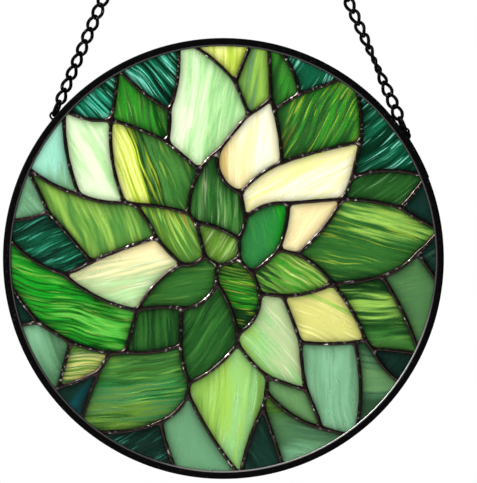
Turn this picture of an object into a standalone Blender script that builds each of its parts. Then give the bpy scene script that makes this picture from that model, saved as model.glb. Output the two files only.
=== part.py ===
"""A round stained glass suncatcher: cut glass held by solder lines in a black metal rim, hung on two strands of
chain that meet in one ring.

The panel stands upright and faces -Y. The origin is where the hanging ring bears on its hook, so everything
hangs below it. Lengths are metres. Points in the plane of the panel are complex numbers, across + up * 1j.
"""

import cmath
import math

import bmesh
import bpy
from mathutils import Vector

# The panel
PANEL_DIAMETER = 0.200  # over the rim
RIM_FACE = 0.0031  # how far the rim's channel reaches in over the glass
RIM_WALL = 0.0008
LEAD_WIDTH = 0.0016
LEAD_DEPTH = 0.0040
GLASS_THICKNESS = 0.0030

# The two eyes soldered to the rim, by their angle from the panel's right-hand side
EYE_WIRE = 0.0010
EYE_HOLE = 0.0022
EYE_LEG = 0.0004
EYE_ANGLES = {"left": 139.9, "right": 34.8}

# The chain and the ring that it hangs from
LINK_WIRE = 0.0010
LINK_LENGTH = 0.0077
LINK_WIDTH = 0.0053
LINK_TWIST = math.radians(90)
RING_WIRE = 0.0018
RING_HOLE = 0.012
HANG_HEIGHT = 0.247  # from the panel's centre up to the ring's centre

# Fits
CLEARANCE = 0.0003  # between pieces that touch
LINK_BITE = 0.0002  # how far neighbouring links sink into each other where they touch

# How finely round shapes are cut into flats
ARC_ERROR = 0.0003
RIM_STEPS = 64
RING_STEPS = 16
EYE_STEPS = 6
LINK_STEPS = 8
WIRE_SIDES = 6
LINK_SIDES = 3
STRAIGHT = 1e-6  # the bulge of a lead that is drawn straight

PANEL_RADIUS = PANEL_DIAMETER / 2
EDGE_RADIUS = PANEL_RADIUS - RIM_WALL - CLEARANCE
RIM_DEPTH = LEAD_DEPTH + 2 * (CLEARANCE + RIM_WALL)
RING_CENTRE = Vector((0, 0, -RING_HOLE / 2))
PANEL_CENTRE = RING_CENTRE - Vector((0, 0, HANG_HEIGHT))

# The sheets that the glass is cut from, with their colours
SHEETS = {
    "emerald_glass": (0.004, 0.150, 0.085),
    "forest_glass": (0.018, 0.115, 0.022),
    "leaf_glass": (0.055, 0.290, 0.030),
    "lime_glass": (0.330, 0.480, 0.060),
    "banded_glass": (0.110, 0.300, 0.045),
    "soft_green_glass": (0.130, 0.350, 0.150),
    "mint_glass": (0.470, 0.720, 0.360),
    "seafoam_glass": (0.230, 0.480, 0.320),
    "cream_glass": (0.830, 0.740, 0.380),
    "teal_glass": (0.003, 0.055, 0.055),
}

# Every piece on the glazier's cartoon: its mark, its name and the sheet it is cut from
GLASS = {
    "S1": ("pale_seafoam_wing", "seafoam_glass"),
    "S3": ("small_seafoam_wedge", "seafoam_glass"),
    "M1": ("mint_cream_leaf", "mint_glass"),
    "E1": ("emerald_tip_upper_left", "emerald_glass"),
    "G1": ("streaky_green_leaf", "leaf_glass"),
    "E2": ("emerald_tip_top", "emerald_glass"),
    "L1": ("broad_mint_petal", "mint_glass"),
    "K1": ("lime_crescent", "lime_glass"),
    "H1": ("lime_streak_leaf", "leaf_glass"),
    "G2": ("green_sliver", "forest_glass"),
    "E3": ("emerald_tip_upper_right", "emerald_glass"),
    "G3": ("broad_green_leaf", "forest_glass"),
    "E4": ("emerald_wing_right", "emerald_glass"),
    "C1": ("upright_cream_petal", "cream_glass"),
    "C2": ("long_cream_petal", "cream_glass"),
    "D1": ("dark_heart_petal", "forest_glass"),
    "Y1": ("yellow_green_leaf", "lime_glass"),
    "F0": ("meadow_leaf", "banded_glass"),
    "E5": ("emerald_wing_left", "emerald_glass"),
    "C5": ("peach_leaf", "cream_glass"),
    "F1": ("amber_tip_leaf", "lime_glass"),
    "S2": ("heart_bud", "leaf_glass"),
    "D2": ("green_heart_petal", "soft_green_glass"),
    "C3": ("small_cream_petal", "cream_glass"),
    "B1": ("banded_broad_leaf", "banded_glass"),
    "G4": ("dark_swept_leaf", "forest_glass"),
    "T1": ("teal_wedge_upper", "teal_glass"),
    "T2": ("teal_wedge_right", "teal_glass"),
    "G5": ("soft_green_leaf", "soft_green_glass"),
    "G6": ("banded_lime_leaf", "banded_glass"),
    "Y2": ("striped_lime_petal", "lime_glass"),
    "C4": ("yellow_cream_leaf", "cream_glass"),
    "W1": ("lime_heart_petal", "leaf_glass"),
    "N1": ("pale_lime_petal", "mint_glass"),
    "G7": ("deep_green_petal", "forest_glass"),
    "P1": ("dark_streaked_petal", "forest_glass"),
    "Q1": ("dark_banded_block", "forest_glass"),
    "A1": ("bright_green_leaf", "leaf_glass"),
    "T4": ("teal_wedge_left", "teal_glass"),
    "S4": ("seafoam_wedge_left", "seafoam_glass"),
    "K2": ("olive_block", "lime_glass"),
    "T5": ("teal_triangle_left", "teal_glass"),
    "U1": ("broad_banded_block", "banded_glass"),
    "T6": ("emerald_triangle", "emerald_glass"),
    "S5": ("seafoam_leaf", "seafoam_glass"),
    "R1": ("pale_green_petal", "mint_glass"),
    "T7": ("teal_triangle_bottom", "teal_glass"),
    "O1": ("olive_seafoam_leaf", "banded_glass"),
    "Z1": ("soft_green_block", "soft_green_glass"),
    "X1": ("seafoam_block", "seafoam_glass"),
    "V1": ("soft_green_wedge", "soft_green_glass"),
    "T3": ("teal_wedge_lower_right", "teal_glass"),
}

# Where solder lines meet, across and up from the panel's centre, in hundredths of the panel's radius
KNOTS = {
    1: (-51, 63), 2: (-25.5, 53), 3: (-10.5, 40), 4: (-24.5, 67.5), 5: (11.5, 65.5), 6: (5.5, 80),
    7: (-2, 49), 8: (21.5, 72.5), 9: (26.5, 43.5), 10: (23, 67.5), 11: (34.5, 74.5), 12: (62.5, 53),
    13: (8, 30), 14: (10, 18.5), 15: (29.5, 25), 16: (54, 27), 17: (58.5, 37), 18: (80.5, 23),
    19: (72, -8), 20: (88, 2.5), 21: (49.5, -11.5), 22: (33.5, 2), 23: (25, 4), 24: (13, -6),
    25: (7, 9), 26: (7, 0.5), 27: (-16, 20.5), 28: (-12.5, 16.5), 29: (-40, 24.5), 30: (-8.5, 1),
    31: (-2.5, -3), 32: (-19, -2.5), 33: (-30.5, 9.5), 34: (-60, -1.5), 35: (-79.5, 21), 36: (-65.5, 29),
    37: (-45, 25.5), 38: (-72.5, -7), 39: (-39, -23.5), 40: (-19, -22.5), 41: (-3, -11), 42: (6.5, -34),
    43: (16.5, -16), 44: (27, -17), 45: (35, -38), 46: (64.5, -37), 47: (67.5, -41), 48: (6.5, -38.5),
    49: (59.5, -38), 50: (37.5, -59.5), 51: (20, -53.5), 52: (-15.5, -56.5), 53: (-44.5, -42.5),
    54: (-19.5, -39.5), 55: (-51.5, -43), 56: (-84, -29), 57: (-69.5, -38), 58: (-75, -58.5),
    59: (-56.5, -51), 60: (-16, -61.5), 61: (-28.5, -74), 62: (18, -67.5), 63: (19.5, -60.5), 64: (44.5, -77),
}

# Where solder lines run into the rim, in degrees from the panel's right-hand side, clockwise from the left eye
RIM_KNOTS = {
    101: 137, 102: 119, 103: 102, 104: 99, 105: 82.5, 106: 78, 107: 76, 108: 56, 109: 52.5, 110: 22,
    111: 7.5, 112: -7, 113: -26, 114: -35, 115: -52.5, 116: -54.5, 117: -74, 118: -85.5, 119: -102.5,
    120: -128, 121: -131, 122: -141.5, 123: -162, 124: -174.5, 125: 174, 126: 170, 127: 155,
}

# The solder lines: from knot, to knot, how far the line bulges to the left of the straight way between them in
# hundredths of the panel's radius, and the marks of the two pieces of glass beside it
LEADS = [
    (101, 1, -1.9, "E1", "M1"), (101, 36, -2.1, "S1", "M1"), (102, 1, 0.5, "E1", "G1"),
    (102, 4, -1.3, "G1", "E2"), (103, 4, 1.8, "E2", "L1"), (104, 6, 1.3, "L1", "K1"),
    (105, 6, -0.1, "K1", "H1"), (106, 8, 0.2, "H1", "G2"), (107, 11, 2.1, "G2", "E3"),
    (11, 108, 0.1, "E3", "G3"), (109, 12, 1.0, "G3", "E4"), (17, 110, 2.9, "E4", "G4"),
    (18, 110, -0.4, "G4", "T1"), (18, 111, -0.4, "T1", "B1"), (111, 20, 0.4, "B1", "T2"),
    (20, 112, 0.2, "T2", "G5"), (19, 113, 1.4, "G5", "G6"), (47, 113, 0.3, "G6", "T3"),
    (47, 114, -1.4, "T3", "V1"), (49, 115, 2.4, "V1", "X1"), (64, 116, 0.1, "X1", "O1"),
    (62, 117, 0.1, "T7", "O1"), (62, 118, -1.2, "R1", "T7"), (60, 118, -1.4, "S5", "R1"),
    (61, 119, -0.6, "T6", "S5"), (120, 61, -2.6, "U1", "T6"), (59, 121, -0.3, "T5", "U1"),
    (58, 122, 0, "S4", "T5"), (56, 123, 0, "T4", "S4"), (124, 56, -0.5, "A1", "T4"),
    (125, 38, -2.4, "E5", "A1"), (35, 126, 0.8, "S3", "E5"), (127, 35, 0.3, "S3", "F0"),
    (127, 36, -1.5, "S1", "F0"), (36, 37, -1.3, "M1", "F0"), (1, 37, -2.3, "M1", "Y1"),
    (37, 29, 0, "Y1", "F0"), (1, 2, 0.6, "G1", "Y1"), (4, 2, 0.5, "G1", "L1"),
    (2, 3, -0.2, "Y1", "L1"), (6, 5, 0, "L1", "H1"), (5, 8, -0.5, "H1", "C1"),
    (5, 7, -0.2, "L1", "C1"), (7, 3, -1.0, "L1", "D1"), (7, 13, -4.5, "C1", "D1"),
    (8, 10, 0, "C1", "G2"), (10, 11, 0.2, "G2", "G3"), (10, 9, 0.7, "C1", "G3"),
    (13, 9, 1.4, "C1", "C2"), (9, 12, 0.7, "G3", "C2"), (12, 17, -0.2, "C2", "E4"),
    (17, 16, 0.3, "C2", "G4"), (16, 18, 1.0, "G4", "B1"), (13, 14, -0.1, "C2", "D1"),
    (14, 15, 2.4, "C2", "D2"), (15, 16, 0.1, "C2", "C3"), (15, 23, 1.1, "D2", "C3"),
    (22, 16, -1.6, "C3", "B1"), (23, 22, 0.1, "C3", "Y2"), (22, 21, 1.5, "Y2", "B1"),
    (19, 21, 0.6, "B1", "G6"), (20, 19, 1.4, "B1", "G5"), (3, 27, -1.4, "Y1", "D1"),
    (29, 27, 0.9, "Y1", "F1"), (27, 28, 0, "F1", "D1"), (28, 25, 1.2, "D1", "S2"),
    (14, 25, 0.6, "D1", "D2"), (28, 30, 0.1, "F1", "S2"), (25, 26, 0.3, "S2", "D2"),
    (31, 26, -0.8, "S2", "W1"), (30, 31, -0.1, "S2", "G7"), (26, 24, -0.7, "W1", "D2"),
    (23, 24, 0.7, "D2", "Y2"), (24, 43, 0.4, "W1", "Y2"), (29, 33, 0.7, "F0", "F1"),
    (33, 34, -0.5, "F0", "C5"), (34, 35, -0.2, "F0", "E5"), (38, 34, -0.7, "E5", "C5"),
    (38, 39, -2.7, "C5", "A1"), (33, 32, -0.4, "F1", "C5"), (32, 30, -1.6, "F1", "G7"),
    (39, 32, 2.2, "C5", "G7"), (39, 40, 0.9, "G7", "Q1"), (40, 41, -3.3, "G7", "P1"),
    (31, 41, -0.4, "G7", "W1"), (41, 42, 1.4, "W1", "P1"), (42, 43, -3.4, "W1", "N1"),
    (43, 44, 0, "Y2", "N1"), (44, 21, -1.4, "Y2", "C4"), (44, 45, 0.2, "N1", "C4"),
    (21, 46, 1.4, "C4", "G6"), (46, 47, 0, "G6", "V1"), (49, 46, 0, "C4", "V1"),
    (45, 49, -0.7, "C4", "X1"), (45, 50, -0.5, "N1", "X1"), (42, 48, 0, "N1", "P1"),
    (48, 51, -0.9, "N1", "R1"), (51, 50, -0.3, "N1", "Z1"), (50, 64, 0.4, "Z1", "X1"),
    (63, 64, -2.4, "Z1", "O1"), (51, 63, 0, "R1", "Z1"), (63, 62, 0, "R1", "O1"),
    (48, 52, 2.0, "P1", "R1"), (39, 53, -0.1, "A1", "Q1"), (40, 54, 0.1, "Q1", "P1"),
    (53, 54, -1.4, "Q1", "U1"), (54, 52, -0.7, "P1", "U1"), (52, 60, 0, "U1", "R1"),
    (61, 60, -1.8, "U1", "S5"), (55, 53, 0, "A1", "U1"), (57, 55, -0.4, "A1", "K2"),
    (55, 59, 0, "K2", "U1"), (59, 58, 0.7, "K2", "T5"), (57, 58, 0.1, "S4", "K2"),
    (56, 57, -0.1, "A1", "S4"),
]


class Side:
    """One solder line as an arc, walked with its window on the left."""

    def __init__(self, start, end, bulge):
        chord = end - start
        left = 1j * chord / abs(chord)
        bulge = math.copysign(max(abs(bulge), STRAIGHT), bulge)
        self.start = start
        self.end = end
        self.turn = -math.copysign(1, bulge)
        self.radius = (abs(chord) ** 2 / 4 + bulge**2) / (2 * abs(bulge))
        self.centre = (start + end) / 2 + left * self.turn * (self.radius - abs(bulge))
        self.steps = max(1, math.ceil(math.sqrt(abs(bulge) / ARC_ERROR)))

    def inset_radius(self, inset):
        return self.radius - self.turn * inset

    def inward(self, point):
        return self.turn * (self.centre - point) / self.radius

    def points(self, first, last):
        """The arc about this side's centre from first to last, in this side's own number of steps."""
        sweep = cmath.phase((last - self.centre) / (first - self.centre))
        turns = [cmath.rect(1, sweep * step / self.steps) for step in range(self.steps + 1)]
        return [self.centre + (first - self.centre) * turn for turn in turns]


def corner(before, after, inset):
    """Where two neighbouring sides meet once both have moved inwards."""
    middle = (before.end + after.start) / 2
    inward = before.inward(before.end) + after.inward(after.start)
    guess = middle + inset * inward / abs(inward)
    between = after.centre - before.centre
    first, second = before.inset_radius(inset), after.inset_radius(inset)
    along = (abs(between) ** 2 + first**2 - second**2) / (2 * abs(between))
    if first < abs(along):
        return guess
    foot = before.centre + between / abs(between) * along
    rise = 1j * between / abs(between) * math.sqrt(first**2 - along**2)
    return min(foot + rise, foot - rise, key=lambda point: abs(point - guess))


def inset_window(sides, inset):
    """Each side's points after the window has shrunk by inset. A side that shrinks away keeps one repeated point."""
    kept = list(range(len(sides)))
    while True:
        corners = [corner(sides[kept[at - 1]], sides[kept[at]], inset) for at in range(len(kept))]
        lengths = []
        for at, side in enumerate(kept):
            run = corners[(at + 1) % len(kept)] - corners[at]
            lengths.append((run * (sides[side].end - sides[side].start).conjugate()).real)
        if min(lengths) > 0 or len(kept) < 4:
            break
        kept.pop(lengths.index(min(lengths)))
    rows = []
    for number, side in enumerate(sides):
        later = [at for at, other in enumerate(kept) if other >= number]
        at = later[0] if later else 0
        if number in kept:
            rows.append(side.points(corners[at], corners[(at + 1) % len(kept)]))
        else:
            rows.append([corners[at]] * (side.steps + 1))
    return rows


def knot_point(knot):
    if knot in RIM_KNOTS:
        return cmath.rect(EDGE_RADIUS, math.radians(RIM_KNOTS[knot]))
    return complex(*KNOTS[knot]) / 100 * PANEL_RADIUS


def window_sides(mark):
    """The sides round one piece of glass, anticlockwise. The rim closes a window that lies against it."""
    loose = {}
    for start, end, bulge, *marks in LEADS:
        if mark in marks:
            loose.setdefault(start, []).append((end, bulge))
            loose.setdefault(end, []).append((start, -bulge))
    first = next((knot for knot in loose if len(loose[knot]) == 1), next(iter(loose)))
    way = []
    here = first
    while loose[here]:
        there, bulge = loose[here].pop()
        loose[there] = [step for step in loose[there] if step[0] != here]
        way.append((here, there, bulge / 100 * PANEL_RADIUS))
        here = there
    if here != first:
        half = abs(knot_point(first) - knot_point(here)) / 2
        rise = EDGE_RADIUS - math.sqrt(EDGE_RADIUS**2 - half**2)
        outward = (knot_point(first) - knot_point(here)) * 1j * (knot_point(first) + knot_point(here)).conjugate()
        way.append((here, first, math.copysign(rise, outward.real)))
    area = sum((knot_point(a).conjugate() * knot_point(b)).imag for a, b, _ in way)
    if area < 0:
        way = [(end, start, -bulge) for start, end, bulge in reversed(way)]
    return [Side(knot_point(start), knot_point(end), bulge) for start, end, bulge in way]


def on_panel(point, depth):
    return PANEL_CENTRE + Vector((point.real, depth, point.imag))


def finish(name, colour, roughness, metallic=0.0):
    material = bpy.data.materials.new(name)
    material.use_nodes = True
    shader = material.node_tree.nodes["Principled BSDF"]
    shader.inputs["Base Color"].default_value = (*colour, 1)
    shader.inputs["Roughness"].default_value = roughness
    shader.inputs["Metallic"].default_value = metallic
    material.diffuse_color = (*colour, 1)
    return material


def add_object(name, mesh_data, material, smooth=False):
    bmesh.ops.remove_doubles(mesh_data, verts=mesh_data.verts, dist=1e-6)
    bmesh.ops.recalc_face_normals(mesh_data, faces=mesh_data.faces)
    mesh = bpy.data.meshes.new(name)
    mesh_data.to_mesh(mesh)
    mesh_data.free()
    mesh.materials.append(material)
    if smooth:
        mesh.shade_smooth()
        mesh.set_sharp_from_angle(angle=math.radians(50))
    made = bpy.data.objects.new(name, mesh)
    bpy.context.scene.collection.objects.link(made)
    return made


def add_face(mesh_data, corners):
    """A face through these places, in metres, without the corners that repeat their neighbour."""
    ring = [place for at, place in enumerate(corners) if (place - corners[at - 1]).length > 1e-7]
    if len(ring) > 2:
        mesh_data.faces.new([mesh_data.verts.new(place) for place in ring])


def make_solder_lines(windows):
    """One network: flat bars between neighbouring windows, and a band round the edge inside the rim."""
    half = LEAD_DEPTH / 2
    mesh_data = bmesh.new()
    for sides in windows.values():
        inner_rows = inset_window(sides, LEAD_WIDTH / 2)
        for side, inner in zip(sides, inner_rows):
            outer = side.points(side.start, side.end)
            on_rim = abs(side.centre) < CLEARANCE
            for at in range(side.steps):
                a, b = outer[at], outer[at + 1]
                c, d = inner[at + 1], inner[at]
                for depth in (-half, half):
                    add_face(mesh_data, [on_panel(point, depth) for point in (a, b, c, d)])
                walls = [(c, d), (a, b)] if on_rim else [(c, d)]
                for start, end in walls:
                    ends = [on_panel(start, -half), on_panel(end, -half)]
                    add_face(mesh_data, ends + [on_panel(end, half), on_panel(start, half)])
    return add_object("solder_lines", mesh_data, finish("solder", (0.09, 0.08, 0.075), 0.42, 0.9))


def make_glass(mark, sides):
    name, sheet = GLASS[mark]
    rows = inset_window(sides, LEAD_WIDTH / 2 + CLEARANCE)
    outline = [point for row in rows for point in row[:-1]]
    outline = [point for at, point in enumerate(outline) if abs(point - outline[at - 1]) > 1e-6]
    mesh_data = bmesh.new()
    front = mesh_data.faces.new([mesh_data.verts.new(on_panel(point, -GLASS_THICKNESS / 2)) for point in outline])
    back = bmesh.ops.extrude_face_region(mesh_data, geom=[front], use_keep_orig=True)["geom"]
    moved = [item for item in back if isinstance(item, bmesh.types.BMVert)]
    bmesh.ops.translate(mesh_data, verts=moved, vec=(0, GLASS_THICKNESS, 0))
    return add_object(f"glass_{name}", mesh_data, finish(name, SHEETS[sheet], 0.12))


def make_rim(material):
    """A U-shaped channel, open towards the glass, spun once round the panel."""
    half = RIM_DEPTH / 2
    lip = PANEL_RADIUS - RIM_FACE
    floor = PANEL_RADIUS - RIM_WALL
    outline = [(PANEL_RADIUS, -half), (lip, -half), (lip, RIM_WALL - half), (floor, RIM_WALL - half)]
    outline += [(radius, -depth) for radius, depth in reversed(outline)]
    mesh_data = bmesh.new()
    ring = [mesh_data.verts.new(on_panel(complex(radius, 0), depth)) for radius, depth in outline]
    edges = [mesh_data.edges.new((ring[at - 1], ring[at])) for at in range(len(ring))]
    bmesh.ops.spin(
        mesh_data, geom=ring + edges, cent=PANEL_CENTRE, axis=(0, 1, 0),
        angle=math.tau, steps=RIM_STEPS, use_merge=True,
    )
    return add_object("rim", mesh_data, material, smooth=True)


def add_tube(mesh_data, centres, flats, radius, sides, closed):
    """A wire through these centres. flats are directions square to the plane in which the wire bends."""
    count = len(centres)
    rings = []
    for at, centre in enumerate(centres):
        before = centres[at - 1] if closed or at else centre
        after = centres[(at + 1) % count] if closed or at + 1 < count else centre
        arriving = (centre - before).normalized()
        leaving = (after - centre).normalized()
        along = (arriving + leaving).normalized()
        side = along.cross(flats[at]).normalized()
        flat = side.cross(along)
        straight = max(arriving.dot(along), leaving.dot(along))
        ring = []
        for corner_number in range(sides):
            turn = math.tau * corner_number / sides
            offset = side * math.cos(turn) / straight + flat * math.sin(turn)
            ring.append(mesh_data.verts.new(centre + offset * radius))
        rings.append(ring)
    for at in range(count if closed else count - 1):
        near, far = rings[at], rings[(at + 1) % count]
        for corner_number in range(sides):
            other = (corner_number + 1) % sides
            mesh_data.faces.new((near[corner_number], near[other], far[other], far[corner_number]))
    if not closed:
        mesh_data.faces.new(rings[0])
        mesh_data.faces.new(rings[-1])


def eye_axes(side):
    """The directions along the rim and out of it at one eye."""
    turn = math.radians(EYE_ANGLES[side])
    return Vector((-math.sin(turn), 0, math.cos(turn))), Vector((math.cos(turn), 0, math.sin(turn)))


def eye_centre(side):
    return PANEL_CENTRE + eye_axes(side)[1] * (PANEL_RADIUS + CLEARANCE + EYE_LEG)


def make_eye(side, material):
    """A small arch of wire standing on the rim."""
    along, outward = eye_axes(side)
    bend = (EYE_HOLE + EYE_WIRE) / 2
    centre = eye_centre(side)
    centres = [centre + along * bend - outward * EYE_LEG]
    for step in range(EYE_STEPS + 1):
        turn = math.pi * step / EYE_STEPS
        centres.append(centre + (along * math.cos(turn) + outward * math.sin(turn)) * bend)
    centres.append(centre - along * bend - outward * EYE_LEG)
    mesh_data = bmesh.new()
    flats = [Vector((0, 1, 0))] * len(centres)
    add_tube(mesh_data, centres, flats, EYE_WIRE / 2, WIRE_SIDES, closed=False)
    return add_object(f"{side}_eye", mesh_data, material, smooth=True)


def add_link(mesh_data, centre, axis, turn, twist):
    """One link on the strand's axis, its ends turned apart by twist about that axis."""
    across = Vector((0, 1, 0)).cross(axis)
    half_length = (LINK_LENGTH - LINK_WIRE) / 2
    half_width = (LINK_WIDTH - LINK_WIRE) / 2
    step = math.tau / LINK_STEPS
    grow = 1 / math.cos(step / 2)
    centres = []
    flats = []
    for number in range(LINK_STEPS):
        place = step * (number + 0.5)
        height = half_length * grow * math.sin(place)
        lean = turn + twist / 2 * height / half_length
        outward = across * math.cos(lean) + Vector((0, 1, 0)) * math.sin(lean)
        centres.append(centre + axis * height + outward * half_width * grow * math.cos(place))
        flats.append(axis.cross(outward))
    add_tube(mesh_data, centres, flats, LINK_WIRE / 2, LINK_SIDES, closed=True)


def make_chain(side, material):
    """A strand of twisted links between a plain link in the eye and a plain link on the hanging ring."""
    hole = eye_centre(side)
    axis = (RING_CENTRE - hole).normalized()
    half_length = (LINK_LENGTH - LINK_WIRE) / 2
    play = (EYE_HOLE - LINK_WIRE) / 2 - CLEARANCE
    lowest = hole + axis * (play + half_length)
    ring_reach = RING_HOLE / 2 - CLEARANCE - LINK_WIRE / 2
    highest = RING_CENTRE - axis * (ring_reach + half_length)
    run = highest - lowest
    pitches = max(2, round(run.length / (LINK_LENGTH - 2 * LINK_WIRE + LINK_BITE)))
    odd, even = bmesh.new(), bmesh.new()
    for number in range(pitches + 1):
        mesh_data = odd if number % 2 else even
        centre = lowest + run * (number / pitches)
        if number in (0, pitches):
            add_link(mesh_data, centre, axis, math.radians(90), 0)
        else:
            add_link(mesh_data, centre, axis, 0, LINK_TWIST)
    chain = add_object(f"{side}_chain", even, material, smooth=True)
    others = add_object(f"{side}_chain_every_other_link", odd, material)
    others.hide_render = True
    others.display_type = "WIRE"
    union = chain.modifiers.new("joined links", "BOOLEAN")
    union.operation = "UNION"
    union.object = others
    return chain


def make_hanging_ring(material):
    bend = (RING_HOLE + RING_WIRE) / 2
    turns = [math.tau * (step + 0.5) / RING_STEPS for step in range(RING_STEPS)]
    grow = 1 / math.cos(math.pi / RING_STEPS)
    centres = [RING_CENTRE + Vector((math.cos(turn), 0, math.sin(turn))) * bend * grow for turn in turns]
    mesh_data = bmesh.new()
    add_tube(mesh_data, centres, [Vector((0, 1, 0))] * RING_STEPS, RING_WIRE / 2, WIRE_SIDES, closed=True)
    return add_object("hanging_ring", mesh_data, material, smooth=True)


def main():
    for old in list(bpy.data.objects):
        bpy.data.objects.remove(old)
    windows = {mark: window_sides(mark) for mark in GLASS}
    make_solder_lines(windows)
    for mark, sides in windows.items():
        make_glass(mark, sides)
    make_rim(finish("rim_black", (0.008, 0.008, 0.009), 0.45, 0.6))
    chain_black = finish("chain_black", (0.006, 0.006, 0.007), 0.4, 0.7)
    for side in EYE_ANGLES:
        make_eye(side, chain_black)
        make_chain(side, chain_black)
    make_hanging_ring(chain_black)


main()
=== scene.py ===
import cmath
import math

import bmesh
import bpy
import numpy as np
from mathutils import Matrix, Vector, noise


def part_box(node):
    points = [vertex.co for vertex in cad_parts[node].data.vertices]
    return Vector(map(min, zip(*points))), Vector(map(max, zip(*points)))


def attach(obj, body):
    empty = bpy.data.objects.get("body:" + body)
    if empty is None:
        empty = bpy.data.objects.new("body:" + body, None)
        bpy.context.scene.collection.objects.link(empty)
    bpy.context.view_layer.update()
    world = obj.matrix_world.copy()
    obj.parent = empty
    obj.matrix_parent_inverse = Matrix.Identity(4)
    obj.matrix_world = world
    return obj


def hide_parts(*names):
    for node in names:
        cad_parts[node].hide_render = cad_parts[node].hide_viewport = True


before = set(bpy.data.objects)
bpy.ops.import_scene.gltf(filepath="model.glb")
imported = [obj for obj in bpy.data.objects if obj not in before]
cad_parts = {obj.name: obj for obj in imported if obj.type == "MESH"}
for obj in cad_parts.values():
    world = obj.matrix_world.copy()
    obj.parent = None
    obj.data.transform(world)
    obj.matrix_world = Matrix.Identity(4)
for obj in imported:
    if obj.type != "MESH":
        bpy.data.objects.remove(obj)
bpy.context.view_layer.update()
bpy.ops.object.select_all(action="DESELECT")
print("frame loaded")

quarterTurn = math.radians(90)
crease = math.radians(35)  # edges that bend less are shaded smooth
tolerance = 1e-6
rimLow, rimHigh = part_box("rim")
panelCentre = (rimLow + rimHigh) / 2
panelRadius = (rimHigh.x - rimLow.x) / 2
rimHalfDepth = (rimHigh.y - rimLow.y) / 2

# The camera: straight on, with the panel where the photograph has it

camera = {
    "distance": 1.6,
    "imageWidth": 477,
    "imageHeight": 483,
    "discAcross": 223.4,  # the panel's centre and radius in the photograph, in pixels
    "discDown": 258.5,
    "discRadius": 220.6,
}


def addCamera():
    pixel = panelRadius / camera["discRadius"]
    right = (camera["imageWidth"] / 2 - camera["discAcross"]) * pixel
    up = (camera["discDown"] - camera["imageHeight"] / 2) * pixel
    place = (panelCentre.x + right, rimLow.y - camera["distance"], panelCentre.z + up)
    bpy.ops.object.camera_add(location=place, rotation=(quarterTurn, 0, 0))
    made = bpy.context.object
    made.data.lens = made.data.sensor_width * camera["distance"] / (camera["imageHeight"] * pixel)
    bpy.context.scene.camera = made


addCamera()

# The glazier's cartoon. Points in the plane of the panel are complex numbers, across + up * 1j, in metres

cartoon = {
    "edgeRadius": panelRadius - 0.0011,  # where the solder band ends inside the rim
    "step": 0.0011,  # along every line
    "straight": tolerance,  # the bulge of a line that is drawn straight
    "unit": panelRadius / 100,
    "fewestSides": 3,
}

# Where solder lines meet, across and up from the panel's centre, in hundredths of the panel's radius
knots = {
    1: (-51, 63), 2: (-25.5, 53), 3: (-10.5, 40), 4: (-24.5, 67.5), 5: (11.5, 65.5), 6: (5.5, 80),
    7: (-2, 49), 8: (21.5, 72.5), 9: (26.5, 43.5), 10: (23, 67.5), 11: (34.5, 74.5), 12: (62.5, 53),
    13: (8, 30), 14: (10, 18.5), 15: (29.5, 25), 16: (54, 27), 17: (58.5, 37), 18: (80.5, 23),
    19: (72, -8), 20: (88, 2.5), 21: (49.5, -11.5), 22: (33.5, 2), 23: (25, 4), 24: (13, -6),
    25: (7, 9), 26: (7, 0.5), 27: (-16, 20.5), 28: (-12.5, 16.5), 29: (-40, 24.5), 30: (-8.5, 1),
    31: (-2.5, -3), 32: (-19, -2.5), 33: (-30.5, 9.5), 34: (-60, -1.5), 35: (-79.5, 21), 36: (-65.5, 29),
    37: (-45, 25.5), 38: (-72.5, -7), 39: (-39, -23.5), 40: (-19, -22.5), 41: (-3, -11), 42: (6.5, -34),
    43: (16.5, -16), 44: (27, -17), 45: (35, -38), 46: (64.5, -37), 47: (67.5, -41), 48: (6.5, -38.5),
    49: (59.5, -38), 50: (37.5, -59.5), 51: (20, -53.5), 52: (-15.5, -56.5), 53: (-44.5, -42.5),
    54: (-19.5, -39.5), 55: (-51.5, -43), 56: (-84, -29), 57: (-69.5, -38), 58: (-75, -58.5),
    59: (-56.5, -51), 60: (-16, -61.5), 61: (-28.5, -74), 62: (18, -67.5), 63: (19.5, -60.5), 64: (44.5, -77),
}

# Where solder lines run into the rim, in degrees from the panel's right-hand side
rimKnots = {
    101: 137, 102: 119, 103: 102, 104: 99, 105: 82.5, 106: 78, 107: 76, 108: 56, 109: 52.5, 110: 22,
    111: 7.5, 112: -7, 113: -26, 114: -35, 115: -52.5, 116: -54.5, 117: -74, 118: -85.5, 119: -102.5,
    120: -128, 121: -131, 122: -141.5, 123: -162, 124: -174.5, 125: 174, 126: 170, 127: 155,
}

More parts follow.
